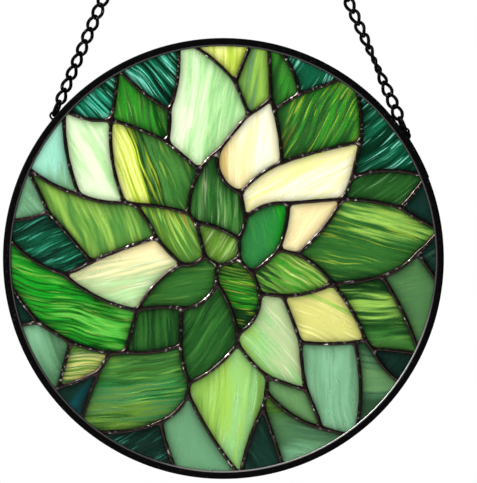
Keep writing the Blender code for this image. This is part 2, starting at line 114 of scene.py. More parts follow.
# From knot, to knot, how far the line bulges to the left in hundredths of the radius, and the marks of the
# glass on both sides
leads = [
    (101, 1, -1.9, "E1 M1"), (101, 36, -2.1, "S1 M1"), (102, 1, 0.5, "E1 G1"), (102, 4, -1.3, "G1 E2"),
    (103, 4, 1.8, "E2 L1"), (104, 6, 1.3, "L1 K1"), (105, 6, -0.1, "K1 H1"), (106, 8, 0.2, "H1 G2"),
    (107, 11, 2.1, "G2 E3"), (11, 108, 0.1, "E3 G3"), (109, 12, 1, "G3 E4"), (17, 110, 2.9, "E4 G4"),
    (18, 110, -0.4, "G4 T1"), (18, 111, -0.4, "T1 B1"), (111, 20, 0.4, "B1 T2"), (20, 112, 0.2, "T2 G5"),
    (19, 113, 1.4, "G5 G6"), (47, 113, 0.3, "G6 T3"), (47, 114, -1.4, "T3 V1"), (49, 115, 2.4, "V1 X1"),
    (64, 116, 0.1, "X1 O1"), (62, 117, 0.1, "T7 O1"), (62, 118, -1.2, "R1 T7"), (60, 118, -1.4, "S5 R1"),
    (61, 119, -0.6, "T6 S5"), (120, 61, -2.6, "U1 T6"), (59, 121, -0.3, "T5 U1"), (58, 122, 0, "S4 T5"),
    (56, 123, 0, "T4 S4"), (124, 56, -0.5, "A1 T4"), (125, 38, -2.4, "E5 A1"), (35, 126, 0.8, "S3 E5"),
    (127, 35, 0.3, "S3 F0"), (127, 36, -1.5, "S1 F0"), (36, 37, -1.3, "M1 F0"), (1, 37, -2.3, "M1 Y1"),
    (37, 29, 0, "Y1 F0"), (1, 2, 0.6, "G1 Y1"), (4, 2, 0.5, "G1 L1"), (2, 3, -0.2, "Y1 L1"),
    (6, 5, 0, "L1 H1"), (5, 8, -0.5, "H1 C1"), (5, 7, -0.2, "L1 C1"), (7, 3, -1, "L1 D1"),
    (7, 13, -4.5, "C1 D1"), (8, 10, 0, "C1 G2"), (10, 11, 0.2, "G2 G3"), (10, 9, 0.7, "C1 G3"),
    (13, 9, 1.4, "C1 C2"), (9, 12, 0.7, "G3 C2"), (12, 17, -0.2, "C2 E4"), (17, 16, 0.3, "C2 G4"),
    (16, 18, 1, "G4 B1"), (13, 14, -0.1, "C2 D1"), (14, 15, 2.4, "C2 D2"), (15, 16, 0.1, "C2 C3"),
    (15, 23, 1.1, "D2 C3"), (22, 16, -1.6, "C3 B1"), (23, 22, 0.1, "C3 Y2"), (22, 21, 1.5, "Y2 B1"),
    (19, 21, 0.6, "B1 G6"), (20, 19, 1.4, "B1 G5"), (3, 27, -1.4, "Y1 D1"), (29, 27, 0.9, "Y1 F1"),
    (27, 28, 0, "F1 D1"), (28, 25, 1.2, "D1 S2"), (14, 25, 0.6, "D1 D2"), (28, 30, 0.1, "F1 S2"),
    (25, 26, 0.3, "S2 D2"), (31, 26, -0.8, "S2 W1"), (30, 31, -0.1, "S2 G7"), (26, 24, -0.7, "W1 D2"),
    (23, 24, 0.7, "D2 Y2"), (24, 43, 0.4, "W1 Y2"), (29, 33, 0.7, "F0 F1"), (33, 34, -0.5, "F0 C5"),
    (34, 35, -0.2, "F0 E5"), (38, 34, -0.7, "E5 C5"), (38, 39, -2.7, "C5 A1"), (33, 32, -0.4, "F1 C5"),
    (32, 30, -1.6, "F1 G7"), (39, 32, 2.2, "C5 G7"), (39, 40, 0.9, "G7 Q1"), (40, 41, -3.3, "G7 P1"),
    (31, 41, -0.4, "G7 W1"), (41, 42, 1.4, "W1 P1"), (42, 43, -3.4, "W1 N1"), (43, 44, 0, "Y2 N1"),
    (44, 21, -1.4, "Y2 C4"), (44, 45, 0.2, "N1 C4"), (21, 46, 1.4, "C4 G6"), (46, 47, 0, "G6 V1"),
    (49, 46, 0, "C4 V1"), (45, 49, -0.7, "C4 X1"), (45, 50, -0.5, "N1 X1"), (42, 48, 0, "N1 P1"),
    (48, 51, -0.9, "N1 R1"), (51, 50, -0.3, "N1 Z1"), (50, 64, 0.4, "Z1 X1"), (63, 64, -2.4, "Z1 O1"),
    (51, 63, 0, "R1 Z1"), (63, 62, 0, "R1 O1"), (48, 52, 2, "P1 R1"), (39, 53, -0.1, "A1 Q1"),
    (40, 54, 0.1, "Q1 P1"), (53, 54, -1.4, "Q1 U1"), (54, 52, -0.7, "P1 U1"), (52, 60, 0, "U1 R1"),
    (61, 60, -1.8, "U1 S5"), (55, 53, 0, "A1 U1"), (57, 55, -0.4, "A1 K2"), (55, 59, 0, "K2 U1"),
    (59, 58, 0.7, "K2 T5"), (57, 58, 0.1, "S4 K2"), (56, 57, -0.1, "A1 S4"),
]


class Side:  # one solder line as an arc, walked with its window on the left
    def __init__(self, start, end, bulge):
        chord = end - start
        bulge = math.copysign(max(abs(bulge), cartoon["straight"]), bulge)
        self.start = start
        self.end = end
        self.turn = -math.copysign(1, bulge)
        self.radius = (abs(chord) ** 2 / 4 + bulge**2) / (2 * abs(bulge))
        self.centre = (start + end) / 2 + 1j * chord / abs(chord) * self.turn * (self.radius - abs(bulge))
        length = abs(self.sweep(start, end)) * self.radius
        self.steps = max(2, round(length / cartoon["step"]))

    def sweep(self, first, last):
        return cmath.phase((last - self.centre) / (first - self.centre))

    def inward(self, point):
        return self.turn * (self.centre - point) / self.radius

    def points(self, first, last):
        sweep = self.sweep(first, last)
        turns = [cmath.rect(1, sweep * step / self.steps) for step in range(self.steps + 1)]
        return [self.centre + (first - self.centre) * turn for turn in turns]


def cornerOf(before, after, inset):  # where two neighbouring sides meet once both have moved inwards
    inward = before.inward(before.end) + after.inward(after.start)
    guess = after.start + inset * inward / abs(inward)
    between = after.centre - before.centre
    first = before.radius - before.turn * inset
    second = after.radius - after.turn * inset
    along = (abs(between) ** 2 + first**2 - second**2) / (2 * abs(between))
    if first < abs(along):
        return guess
    foot = before.centre + between / abs(between) * along
    rise = 1j * between / abs(between) * math.sqrt(first**2 - along**2)
    return min(foot + rise, foot - rise, key=lambda point: abs(point - guess))


def insetRows(sides, inset):  # a side that shrinks away keeps one repeated point
    kept = list(range(len(sides)))
    while True:
        corners = [cornerOf(sides[kept[at - 1]], sides[kept[at]], inset) for at in range(len(kept))]
        lengths = []
        for at, side in enumerate(kept):
            run = corners[(at + 1) % len(kept)] - corners[at]
            lengths.append((run * (sides[side].end - sides[side].start).conjugate()).real)
        if min(lengths) > 0 or len(kept) <= cartoon["fewestSides"]:
            break
        kept.pop(lengths.index(min(lengths)))
    rows = []
    for number, side in enumerate(sides):
        at = next((at for at, other in enumerate(kept) if other >= number), 0)
        if number in kept:
            rows.append(side.points(corners[at], corners[(at + 1) % len(kept)]))
        else:
            rows.append([corners[at]] * (side.steps + 1))
    return rows


def knotPoint(knot):
    if knot in rimKnots:
        return cmath.rect(cartoon["edgeRadius"], math.radians(rimKnots[knot]))
    return complex(*knots[knot]) * cartoon["unit"]


def windowSides(mark):  # anticlockwise, closed by the rim where the window lies against it
    loose = {}
    for start, end, bulge, marks in leads:
        if mark in marks.split():
            loose.setdefault(start, []).append((end, bulge))
            loose.setdefault(end, []).append((start, -bulge))
    first = next((knot for knot in loose if len(loose[knot]) == 1), next(iter(loose)))
    way = []
    here = first
    while loose[here]:
        there, bulge = loose[here].pop()
        loose[there] = [step for step in loose[there] if step[0] != here]
        way.append((here, there, bulge * cartoon["unit"]))
        here = there
    if here != first:
        radius = cartoon["edgeRadius"]
        chord = knotPoint(first) - knotPoint(here)
        rise = radius - math.sqrt(radius**2 - (abs(chord) / 2) ** 2)
        outward = chord * 1j * (knotPoint(first) + knotPoint(here)).conjugate()
        way.append((here, first, math.copysign(rise, outward.real)))
    area = sum((knotPoint(start).conjugate() * knotPoint(end)).imag for start, end, bulge in way)
    if area < 0:
        way = [(end, start, -bulge) for start, end, bulge in reversed(way)]
    return [Side(knotPoint(start), knotPoint(end), bulge) for start, end, bulge in way]


def onPanel(point, depth):
    return Vector((panelCentre.x + point.real, panelCentre.y + depth, panelCentre.z + point.imag))


# Every sheet of glass, and the panes cut from it by their marks on the cartoon
sheets = {
    "seafoam": {
        "S1": "pale_seafoam_wing", "S3": "small_seafoam_wedge", "S4": "seafoam_wedge_left",
        "S5": "seafoam_leaf", "X1": "seafoam_block",
    },
    "mint": {
        "M1": "mint_cream_leaf", "L1": "broad_mint_petal", "N1": "pale_lime_petal",
        "R1": "pale_green_petal",
    },
    "emerald": {
        "E1": "emerald_tip_upper_left", "E2": "emerald_tip_top", "E3": "emerald_tip_upper_right",
        "E4": "emerald_wing_right", "E5": "emerald_wing_left", "T6": "emerald_triangle",
    },
    "leaf": {
        "G1": "streaky_green_leaf", "H1": "lime_streak_leaf", "S2": "heart_bud", "W1": "lime_heart_petal",
        "A1": "bright_green_leaf",
    },
    "lime": {
        "K1": "lime_crescent", "Y1": "yellow_green_leaf", "F1": "amber_tip_leaf",
        "Y2": "striped_lime_petal", "K2": "olive_block",
    },
    "forest": {
        "G2": "green_sliver", "G3": "broad_green_leaf", "D1": "dark_heart_petal", "G4": "dark_swept_leaf",
        "G7": "deep_green_petal", "P1": "dark_streaked_petal", "Q1": "dark_banded_block",
    },
    "cream": {
        "C1": "upright_cream_petal", "C2": "long_cream_petal", "C5": "peach_leaf",
        "C3": "small_cream_petal", "C4": "yellow_cream_leaf",
    },
    "banded": {
        "F0": "meadow_leaf", "B1": "banded_broad_leaf", "G6": "banded_lime_leaf",
        "U1": "broad_banded_block", "O1": "olive_seafoam_leaf",
    },
    "soft_green": {
        "D2": "green_heart_petal", "G5": "soft_green_leaf", "Z1": "soft_green_block",
        "V1": "soft_green_wedge",
    },
    "teal": {
        "T1": "teal_wedge_upper", "T2": "teal_wedge_right", "T4": "teal_wedge_left",
        "T5": "teal_triangle_left", "T7": "teal_triangle_bottom", "T3": "teal_wedge_lower_right",
    },
}
panes = {mark: (name, kind) for kind, cut in sheets.items() for mark, name in cut.items()}

windows = {mark: windowSides(mark) for mark in panes}


def loopOf(rows):
    return [point for row in rows for point in row[:-1]]


def softened(loop, times):  # every point is drawn towards its neighbours
    for _ in range(times):
        loop = [(loop[at - 1] + 2 * loop[at] + loop[(at + 1) % len(loop)]) / 4 for at in range(len(loop))]
    return loop


def addMesh(name, corners, faces):
    made = bpy.data.objects.new(name, bpy.data.meshes.new(name))
    made.data.from_pydata(corners, [], faces)
    bpy.context.collection.objects.link(made)
    takeUp(made)
    return made


def takeUp(*pieces):  # the only selected objects, the first the one that operators act on
    bpy.ops.object.select_all(action="DESELECT")
    for piece in pieces:
        piece.select_set(True)
    bpy.context.view_layer.objects.active = pieces[0]


def pickAll():
    bpy.ops.mesh.select_all(action="SELECT")


def openUp(piece):  # in edit mode, all of it selected
    takeUp(piece)
    bpy.ops.object.mode_set(mode="EDIT")
    pickAll()


def combined(piece, other, operation):
    takeUp(piece)
    step = piece.modifiers.new("combined", "BOOLEAN")
    step.operation = operation
    step.solver = "EXACT"
    step.object = other
    bpy.ops.object.modifier_apply(modifier=step.name)
    bpy.data.objects.remove(other)
    return piece


def cleaned(piece, smooth=crease):
    takeUp(piece)
    bpy.ops.object.transform_apply()
    openUp(piece)
    bpy.ops.mesh.remove_doubles(threshold=tolerance)
    bpy.ops.mesh.normals_make_consistent(inside=False)
    bpy.ops.object.mode_set(mode="OBJECT")
    bpy.ops.object.shade_smooth_by_angle(angle=smooth)
    return piece


def settled(piece, name, node, slot):
    piece.name = piece.data.name = name
    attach(piece, "root")
    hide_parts(node)
    return piece


# The solder: a rounded bead on both faces along every line, thicker and wider where lines meet

solder = {
    "halfWidth": 0.00077,
    "crest": 0.0019,  # from the panel's middle to the top of a bead
    "foot": 0.001515,  # just clear of the glass
    "web": 0.3,  # the part of the width that passes between two panes
    "lump": 0.00009,
    "lumpSize": 0.0031,
    "wander": 0.3,
    "wanderSize": 0.0044,
    "wanderShift": Vector((0, 7, 0)),  # so that a bead isn't widest where it is highest
    "poolHeight": 0.00018,
    "poolWidth": 0.22,
    "poolSize": 0.0018,
    "cornersFilled": 2,
    "highest": 0.00223,  # a pool at the edge still passes under the rim's lip
    "profile": [(0, 1), (0.3, 0.95), (0.56, 0.83), (0.78, 0.63), (0.93, 0.37), (1, 0)],
}


def beadShape(points):  # how high the crest stands at each point of a line, and how wide the bead is there
    meetings = np.array([knotPoint(knot) for knot in [*knots, *rimKnots]])
    heights = []
    widths = []
    for point in points:
        pool = math.exp(-((np.abs(meetings - point).min() / solder["poolSize"]) ** 2))
        place = Vector((point.real, 0, point.imag))
        lump = noise.noise(place / solder["lumpSize"])
        wander = noise.noise(place / solder["wanderSize"] + solder["wanderShift"])
        height = solder["crest"] + solder["lump"] * lump + solder["poolHeight"] * pool
        heights.append(min(height, solder["highest"]))
        widths.append(1 + solder["wander"] * wander + solder["poolWidth"] * pool)
    return heights, widths


def addSolder():
    corners = []
    faces = []
    for sides in windows.values():
        middle = loopOf([side.points(side.start, side.end) for side in sides])
        edge = softened(loopOf(insetRows(sides, solder["halfWidth"])), solder["cornersFilled"])
        heights, widths = beadShape(middle)
        count = len(middle)
        rings = []
        for share, rise in solder["profile"]:
            rings.append((share, [solder["foot"] + (height - solder["foot"]) * rise for height in heights]))
        rings.append((solder["web"], [solder["foot"]] * count))
        rings += [(share, [-rise for rise in rises]) for share, rises in reversed(rings)]
        first = len(corners)
        for share, rises in rings:
            for at in range(count):
                out = middle[at] + (edge[at] - middle[at]) * share * widths[at]
                corners.append(onPanel(out, -rises[at]))
        for ring in range(len(rings) - 1):
            for at in range(count):
                here = first + ring * count
                after = (at + 1) % count
                faces.append((here + at, here + after, here + count + after, here + count + at))
        last = first + (len(rings) - 1) * count
        for at in range(count):
            after = (at + 1) % count
            reach = [abs(abs(middle[end]) - cartoon["edgeRadius"]) for end in (at, after)]
            if max(reach) < cartoon["straight"]:
                faces.append((first + after, first + at, last + at, last + after))
    return settled(cleaned(addMesh("beads", corners, faces)), "solder_beads", "solder_lines", "solder")


solderBeads = addSolder()
print("solder laid:", len(solderBeads.data.polygons), "faces")


# The panes: a sheet rolled with a gentle wave, cut to the outline of its window

sheet = {
    "halfThickness": 0.0015,
    "gap": 0.0003,  # from the middle of a lead to the glass
    "closest": 1e-5,  # two points of an outline
    "cornersEased": 1,
    "cell": 0.001,
    "wave": 0.00006,
    "waveSize": 0.007,
    "calmEdge": 0.0011,  # flat under the solder
    "smooth": math.radians(30),
    "shade": 0.002,  # how far a lead's shade reaches over the glass
}


def distanceTo(loop, points):  # from each point to the nearest edge of a closed outline
    starts = np.array(loop)
    runs = np.roll(starts, -1) - starts
    offsets = points[:, None] - starts[None, :]
    along = np.clip((offsets * runs.conjugate()).real / np.abs(runs) ** 2, 0, 1)
    return np.abs(offsets - along * runs).min(axis=1)


def addPane(mark):
    name, kind = panes[mark]
    outline = softened(loopOf(insetRows(windows[mark], sheet["gap"])), sheet["cornersEased"])
    outline = [point for at, point in enumerate(outline) if abs(point - outline[at - 1]) > sheet["closest"]]
    places = np.array(outline)
    low = complex(places.real.min(), places.imag.min()) - sheet["cell"] * (1 + 1j)
    high = complex(places.real.max(), places.imag.max()) + sheet["cell"] * (1 + 1j)
    size = high - low
    bpy.ops.mesh.primitive_grid_add(
        x_subdivisions=math.ceil(size.real / sheet["cell"]),
        y_subdivisions=math.ceil(size.imag / sheet["cell"]),
        size=1,
        location=onPanel((low + high) / 2, -sheet["halfThickness"]),
        rotation=(quarterTurn, 0, 0),
    )
    made = bpy.context.object
    made.scale = (size.real, size.imag, 1)
    bpy.ops.object.transform_apply()
    openUp(made)
    bpy.ops.mesh.extrude_region_move(TRANSFORM_OT_translate={"value": (0, 2 * sheet["halfThickness"], 0)})
    pickAll()
    bpy.ops.mesh.normals_make_consistent(inside=False)
    bpy.ops.object.mode_set(mode="OBJECT")

    reach = 2 * sheet["halfThickness"]
    rings = [onPanel(point, depth) for depth in (-reach, reach) for point in outline]
    count = len(outline)
    faces = [tuple(range(count)), tuple(reversed(range(count, 2 * count)))]
    faces += [(at, count + at, count + (at + 1) % count, (at + 1) % count) for at in range(count)]
    combined(made, cleaned(addMesh("cutter", rings, faces)), "INTERSECT")

    spots = np.empty(len(made.data.vertices) * 3)
    made.data.vertices.foreach_get("co", spots)
    spots = spots.reshape(-1, 3)
    flat = (spots[:, 0] - panelCentre.x) + 1j * (spots[:, 2] - panelCentre.z)
    distance = distanceTo(outline, flat)
    calm = np.clip((distance - sheet["calmEdge"]) / sheet["calmEdge"], 0, 1)
    for at, vertex in enumerate(made.data.vertices):
        if calm[at] > 0:
            wave = noise.noise(Vector(spots[at]) / sheet["waveSize"])
            vertex.co.y += sheet["wave"] * wave * calm[at]
    shade = made.data.attributes.new("shade", "FLOAT", "POINT")
    shade.data.foreach_set("value", np.exp(-distance / sheet["shade"]).astype(np.float32))
    cleaned(made, sheet["smooth"])
    return settled(made, name + "_pane", "glass_" + name, kind + "_glass")


glass = {mark: addPane(mark) for mark in panes}
print("panes cut:", len(glass))


# The rim: a black channel over the edge of the glass, lapped where its two ends meet

rim = {
    "face": 0.0036,
    "wall": 0.0008,
    "steps": 240,
    "round": 0.00045,
    "roundSteps": 3,
    "tipRound": 1 / 3,  # of the wall
    "lapAngles": (21.5, 34.0),
    "lapThickness": 0.00035,
    "lapSteps": 16,
}


def selectWhere(piece, kind, chosen):  # picks vertices or edges by their place, in edit mode
    bpy.ops.mesh.select_all(action="DESELECT")
    bpy.ops.mesh.select_mode(type=kind)
    shape = bmesh.from_edit_mesh(piece.data)
    if kind == "VERT":
        for corner in shape.verts:
            corner.select = chosen(corner.co)
    else:
        for edge in shape.edges:
            edge.select = all(chosen(corner.co) for corner in edge.verts)
    shape.select_flush_mode()
    bmesh.update_edit_mesh(piece.data)


def addSection(inner, outer):  # a flat piece across the rim on the panel's right-hand side, opened up
    middle = panelCentre + Vector(((inner + outer) / 2, 0, 0))
    bpy.ops.mesh.primitive_plane_add(size=1, location=middle)
    made = bpy.context.object
    made.scale = (outer - inner, 2 * rimHalfDepth, 1)
    bpy.ops.object.transform_apply()
    openUp(made)
    return made


def spun(piece, steps, angle):  # what is selected, carried round the panel
    bpy.ops.mesh.spin(steps=steps, angle=angle, center=panelCentre, axis=(0, 1, 0))
    bpy.ops.object.mode_set(mode="OBJECT")
    return cleaned(piece)


def addRim():
    outside = panelCentre.x + panelRadius
    inside = outside - rim["wall"]
    tip = outside - rim["face"]
    lip = rimHalfDepth - rim["wall"]
    made = addSection(panelRadius - rim["wall"], panelRadius)
    for side in (-1, 1):
        pickAll()
        bpy.ops.mesh.bisect(plane_co=panelCentre + Vector((0, side * lip, 0)), plane_no=(0, 1, 0))

    def onLip(place, share):
        return abs(place.y - panelCentre.y) > lip + share * tolerance

    selectWhere(made, "EDGE", lambda place: place.x < inside + tolerance and onLip(place, -1))
    bpy.ops.mesh.extrude_edges_move(TRANSFORM_OT_translate={"value": (rim["wall"] - rim["face"], 0, 0)})
    pickAll()
    bpy.ops.mesh.dissolve_faces()
    selectWhere(made, "VERT", lambda place: place.x > inside + tolerance and onLip(place, 1))
    bpy.ops.mesh.bevel(offset=rim["round"], segments=rim["roundSteps"], affect="VERTICES")
    selectWhere(made, "VERT", lambda place: place.x < tip + tolerance)
    bpy.ops.mesh.bevel(offset=rim["wall"] * rim["tipRound"], segments=rim["roundSteps"], affect="VERTICES")
    pickAll()
    bpy.ops.mesh.delete(type="ONLY_FACE")
    pickAll()
    return settled(spun(made, rim["steps"], math.tau), "rim_channel", "rim", "rim_black")


def addLap():
    start, end = [math.radians(angle) for angle in rim["lapAngles"]]
    made = addSection(panelRadius - rim["wall"] / 2, panelRadius + rim["lapThickness"])
    bpy.ops.transform.rotate(value=start, orient_axis="Y", orient_type="GLOBAL", center_override=panelCentre)
    bpy.ops.mesh.bevel(offset=rim["lapThickness"] / 2, segments=rim["roundSteps"], affect="VERTICES")
    return settled(spun(made, rim["lapSteps"], end - start), "rim_lap", "rim", "rim_black")


rimChannel = addRim()
rimLap = addLap()
print("rim spun:", len(rimChannel.data.polygons), "faces")


def addTube(points, radius, sides, closed=True):  # round wire along a line
    line = bpy.data.curves.new("wire", "CURVE")
    line.dimensions = "3D"
    line.bevel_depth = radius
    line.bevel_resolution = sides
    line.use_fill_caps = not closed
    run = line.splines.new("POLY")
    run.points.add(len(points) - 1)
    for at, place in enumerate(points):
        run.points[at].co = (*place, 1)
    run.use_cyclic_u = closed
    made = bpy.data.objects.new("wire", line)
    bpy.context.collection.objects.link(made)
    takeUp(made)
    bpy.ops.object.convert(target="MESH")
    return bpy.context.object


# The eyes: a small arch of wire on each side, its feet drowned in solder

eyes = {
    "angles": {"left": 139.9, "right": 34.8},
    "wire": 0.001,
    "hole": 0.0022,
    "leg": 0.0004,
    "clearance": 0.0003,
    "sunk": 0.00025,  # the feet reach this far into the rim
    "steps": 20,
    "wireSides": 3,
    "footSegments": 20,
    "footRings": 12,
    "footSize": {"left": (0.00105, 0.0013, 0.0007), "right": (0.0023, 0.0019, 0.0024)},
    "footLump": 0.00012,
    "footLumpSize": solder["lumpSize"] / 3,
}
strandAcross = Vector((0, 1, 0))


def eyeAxes(side):  # along the rim, and out of it
    turn = math.radians(eyes["angles"][side])
    return Vector((-math.sin(turn), 0, math.cos(turn))), Vector((math.cos(turn), 0, math.sin(turn)))


def eyeCentre(side):
    return panelCentre + eyeAxes(side)[1] * (panelRadius + eyes["clearance"] + eyes["leg"])


def addEye(side):
    along, outward = eyeAxes(side)
    bend = (eyes["hole"] + eyes["wire"]) / 2
    centre = eyeCentre(side)
    foot = outward * (eyes["leg"] + eyes["clearance"] + eyes["sunk"])
    points = [centre + along * bend - foot]
    for step in range(eyes["steps"] + 1):
        turn = math.pi * step / eyes["steps"]
        points.append(centre + (along * math.cos(turn) + outward * math.sin(turn)) * bend)
    points.append(centre - along * bend - foot)
    made = addTube(points, eyes["wire"] / 2, eyes["wireSides"], closed=False)
    for end in (-1, 1):
        place = centre + along * bend * end - foot
        bpy.ops.mesh.primitive_uv_sphere_add(
            segments=eyes["footSegments"],
            ring_count=eyes["footRings"],
            radius=1,
            location=place,
            scale=eyes["footSize"][side],
            rotation=(0, quarterTurn - math.radians(eyes["angles"][side]), 0),
        )
        blob = bpy.context.object
        bpy.ops.object.transform_apply()
        for vertex in blob.data.vertices:
            lump = noise.noise(vertex.co / eyes["footLumpSize"])
            vertex.co += (vertex.co - place).normalized() * lump * eyes["footLump"]
        combined(made, blob, "UNION")
    return settled(cleaned(made), side + "_eye_arch", side + "_eye", "chain_black")


eyeArches = {side: addEye(side) for side in eyes["angles"]}
print("eyes bent")


# The chains: twisted links of round wire, each lying through the next

chain = {
    "wire": 0.001,
    "swelling": 1.58,  # how much thicker the wire looks, with its paint and its bends
    "linkLength": 0.0077,
    "linkWidth": 0.0053,
    "bite": 0.0002,
    "twist": quarterTurn,
    "steps": 28,
    "wireSides": 3,
    "roll": {"left": (6, 40, 5), "right": (4.8, 0, 148)},  # the turning link, then degrees below and above it
    "rollOver": 1.3,  # links
    "endTurn": {"left": math.radians(74), "right": math.radians(104)},
    "swing": math.radians(4),
    "swingStep": 0.7,  # from link to link through the noise
    "seed": 11,
}
hoop = {
    "wire": 0.0018,
    "hole": 0.012,
    "steps": 96,
    "wireSides": 6,
    "seamAngle": math.radians(62),
    "seamGap": math.radians(0.9),
}
ringCentre = Vector((0, 0, -hoop["hole"] / 2))


def linkPoints(centre, axis, halfLength, turn, twist):
    across = strandAcross.cross(axis)
    points = []
    for step in range(chain["steps"]):
        place = math.tau * step / chain["steps"]
        height = halfLength * math.sin(place)
        lean = turn + twist / 2 * math.sin(place)
        outward = across * math.cos(lean) + strandAcross * math.sin(lean)
        reach = (chain["linkWidth"] - chain["wire"]) / 2 * math.cos(place)
        points.append(centre + axis * height + outward * reach)
    return points


def addStrand(side):
    hole = eyeCentre(side)
    axis = (ringCentre - hole).normalized()
    halfLength = (chain["linkLength"] - chain["wire"]) / 2
    play = (eyes["hole"] - chain["wire"]) / 2 - eyes["clearance"]
    lowest = hole + axis * (play + halfLength)
    reach = hoop["hole"] / 2 - eyes["clearance"] - chain["wire"] / 2
    highest = ringCentre - axis * (reach + halfLength)
    run = highest - lowest
    count = round(run.length / (chain["linkLength"] - 2 * chain["wire"] + chain["bite"]))
    halfLength = (run.length / count + chain["wire"]) / 2
    middle, below, above = chain["roll"][side]
    links = []
    for number in range(count + 1):
        centre = lowest + run * number / count
        turn = math.radians(below + (above - below) / (1 + math.exp((middle - number) / chain["rollOver"])))
        turn += chain["swing"] * noise.noise(Vector((number * chain["swingStep"], chain["seed"], 0)))
        twist = chain["twist"]
        if number in (0, count):
            turn = chain["endTurn"][side]
            twist = 0
        points = linkPoints(centre, axis, halfLength, turn, twist)
        links.append(addTube(points, chain["wire"] * chain["swelling"] / 2, chain["wireSides"]))
    takeUp(*links)
    bpy.ops.object.join()
    return settled(cleaned(bpy.context.object), side + "_chain_links", side + "_chain", "chain_black")


strands = {side: addStrand(side) for side in eyes["angles"]}
print("chains linked")


def addRing():  # bent from thick wire, closed on a fine butt seam
    bend = (hoop["hole"] + hoop["wire"]) / 2
    sweep = math.tau - hoop["seamGap"]
    points = []
    for step in range(hoop["steps"] + 1):
        turn = hoop["seamAngle"] + hoop["seamGap"] / 2 + sweep * step / hoop["steps"]
        points.append(ringCentre + Vector((math.cos(turn), 0, math.sin(turn))) * bend)
    made = addTube(points, hoop["wire"] / 2, hoop["wireSides"], closed=False)
    return settled(cleaned(made), "hanging_ring_wire", "hanging_ring", "chain_black")


ringWire = addRing()
print("ring closed")


# Finishes. A Value is a socket that can be written into sums, and a Finish is one material being mixed

halfWay = 0.5  # what noise and ramps have in their middle


class Value:
    def __init__(self, finish, socket):
        self.finish = finish
        self.socket = socket

    def __add__(self, other):
        return self.finish.maths("ADD", self, other)

    def __sub__(self, other):
        return self.finish.maths("SUBTRACT", self, other)

    def __rsub__(self, other):
        return self.finish.maths("SUBTRACT", other, self)

    def __mul__(self, other):
        return self.finish.maths("MULTIPLY", self, other)

    def swing(self, share):  # noise as a change up and down
        return (self - halfWay) * share

    __radd__ = __add__


class Finish:
    def __init__(self, name, **uniform):
        self.material = bpy.data.materials.new(name)
        self.material.use_nodes = True
        self.tree = self.material.node_tree
        self.shader = self.tree.nodes["Principled BSDF"]
        for socket, value in uniform.items():
            self.shader.inputs[socket].default_value = value

    def feed(self, socket, value):
        if isinstance(value, Value):
            self.tree.links.new(value.socket, socket)
        else:
            socket.default_value = value

    def node(self, kind, settings, sockets, output=0):
        made = self.tree.nodes.new("ShaderNode" + kind)
        for name, value in settings.items():
            if name == "stops":
                while len(made.color_ramp.elements) < len(value):
                    made.color_ramp.elements.new(1)
                for element, (place, colour) in zip(made.color_ramp.elements, value):
                    element.position = place
                    element.color = colour
            else:
                setattr(made, name, value)
        for name, value in sockets.items():
            self.feed(made.inputs[name], value)
        return Value(self, made.outputs[output])

    def maths(self, operation, first, second):
        return self.node("Math", {"operation": operation}, {0: first, 1: second})

    def surface(self, **values):
        for socket, value in values.items():
            self.feed(self.shader.inputs[socket.replace("_", " ")], value)

    def spot(self):
        return self.node("TexCoord", {}, {}, "Object")

    def place(self, centre, turn=0, size=(1, 1, 1), start=None):  # from a centre, turned, in sizes
        turns = (0, turn, 0)
        sockets = {"Vector": start or self.spot(), "Location": centre, "Rotation": turns, "Scale": size}
        return self.node("Mapping", {"vector_type": "TEXTURE"}, sockets)

    def cloud(self, place, scale, detail, distortion=0):
        sockets = {"Vector": place, "Scale": scale, "Detail": detail, "Distortion": distortion}
        return self.node("TexNoise", {}, sockets, "Fac")

    def rise(self, value, low, high):  # 0 below low, 1 above high
        sockets = {"Value": value, "From Min": low, "From Max": high}
        return self.node("MapRange", {"interpolation_type": "SMOOTHSTEP"}, sockets)

    def ramp(self, value, stops):
        return self.node("ValToRGB", {"stops": stops}, {"Fac": value})

    def blend(self, share, first, second, kind="MIX"):  # 6, 7 and 2 are a Mix node's colour sockets
        return self.node("Mix", {"data_type": "RGBA", "blend_type": kind}, {0: share, 6: first, 7: second}, 2)

    def bump(self, height, distance):
        return self.node("Bump", {}, {"Height": height, "Distance": distance})


tones = {  # mixed as the glass looks with light behind it
    "abyss": (4, 22, 17), "ink": (10, 38, 29), "dusk": (15, 50, 41), "teal": (30, 76, 64),
    "seaTeal": (6, 66, 72), "pine": (2, 46, 27), "emerald": (12, 90, 60), "jade": (22, 130, 98),
    "lagoon": (78, 190, 160), "aqua": (140, 232, 210), "bottle": (18, 58, 20), "forest": (34, 86, 32),
    "fern": (50, 108, 42), "moss": (74, 134, 58), "ivy": (12, 78, 14), "grass": (46, 146, 34),
    "vivid": (24, 158, 34), "spring": (98, 196, 74), "drab": (58, 98, 34), "olive": (98, 140, 46),
    "meadow": (124, 170, 72), "lime": (160, 204, 88), "acid": (196, 220, 66), "butter": (248, 250, 156),
    "bronze": (150, 118, 34), "straw": (214, 212, 124), "amber": (220, 190, 110), "peach": (250, 230, 172),
    "cream": (248, 238, 182), "ivory": (254, 254, 226), "celadon": (184, 204, 150), "milk": (230, 250, 208),
    "mint": (190, 234, 168), "apple": (148, 204, 130), "foam": (158, 222, 196), "seafoam": (132, 186, 146),
    "sea": (104, 156, 114), "reef": (70, 114, 78), "kelp": (44, 78, 50), "sage": (76, 122, 72),
    "mist": (104, 150, 94), "clover": (46, 128, 62),
}
screen = {"white": 255, "dark": 0.0405, "darkSlope": 12.92, "lift": 0.055, "power": 2.4}  # levels to light


